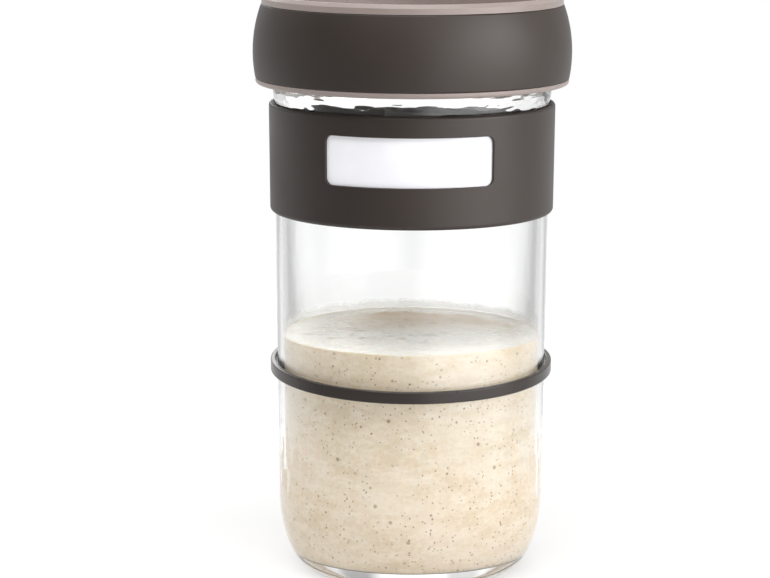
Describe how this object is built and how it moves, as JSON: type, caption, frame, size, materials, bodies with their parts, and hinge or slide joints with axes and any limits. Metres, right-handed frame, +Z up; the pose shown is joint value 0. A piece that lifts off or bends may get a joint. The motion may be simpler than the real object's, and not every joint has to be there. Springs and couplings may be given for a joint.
{
  "type": "sourdough starter jar",
  "caption": "Tapered clear glass jar of starter with a push-on lid in a soft grip sleeve, a turning label band with a write-on plate and a sliding level ring.",
  "frame": {"origin": "middle of the foot, on the surface that the jar stands on", "axes": "+Z up along the jar's axis, -Y towards the front, where the label window faces, +X to the right seen from the front"},
  "size_m": [0.0995, 0.0996, 0.1823],
  "materials": {
    "clear_glass": "clear soda-lime glass",
    "starter": null,
    "dark_silicone": "satin silicone",
    "white_plate": "smooth white write-on plastic",
    "ring_silicone": "satin silicone",
    "mauve_plastic": "satin moulded polypropylene",
    "sleeve_silicone": "satin silicone",
    "seal_silicone": "translucent silicone",
    "valve_silicone": "satin silicone"
  },
  "bodies": {
    "jar": {"glass_jar": "clear_glass", "sourdough_starter": "starter"},
    "band": {"label_band": "dark_silicone", "label_plate": "white_plate"},
    "ring": {"marker_ring": "ring_silicone"},
    "lid": {"lid_core": "mauve_plastic", "grip_sleeve": "sleeve_silicone", "lid_seal": "seal_silicone"},
    "vent": {"vent_valve": "valve_silicone"}
  },
  "joints": [
    {"name": "band_turn", "type": "hinge", "parent": "jar", "child": "band", "pos_m": [0, 0, 0.1323], "axis": [0, 0, 1], "continuous": true},
    {"name": "ring_slide", "type": "slide", "parent": "jar", "child": "ring", "axis": [0, 0, 1], "range_m": [-0.034, 0.04]},
    {"name": "lid_lift", "type": "slide", "parent": "jar", "child": "lid", "axis": [0, 0, 1], "range_m": [0, 0.06]},
    {"name": "vent_lift", "type": "slide", "parent": "lid", "child": "vent", "axis": [0, 0, 1], "range_m": [0, 0.0008], "stiffness_N_per_m": 20}
  ]
}
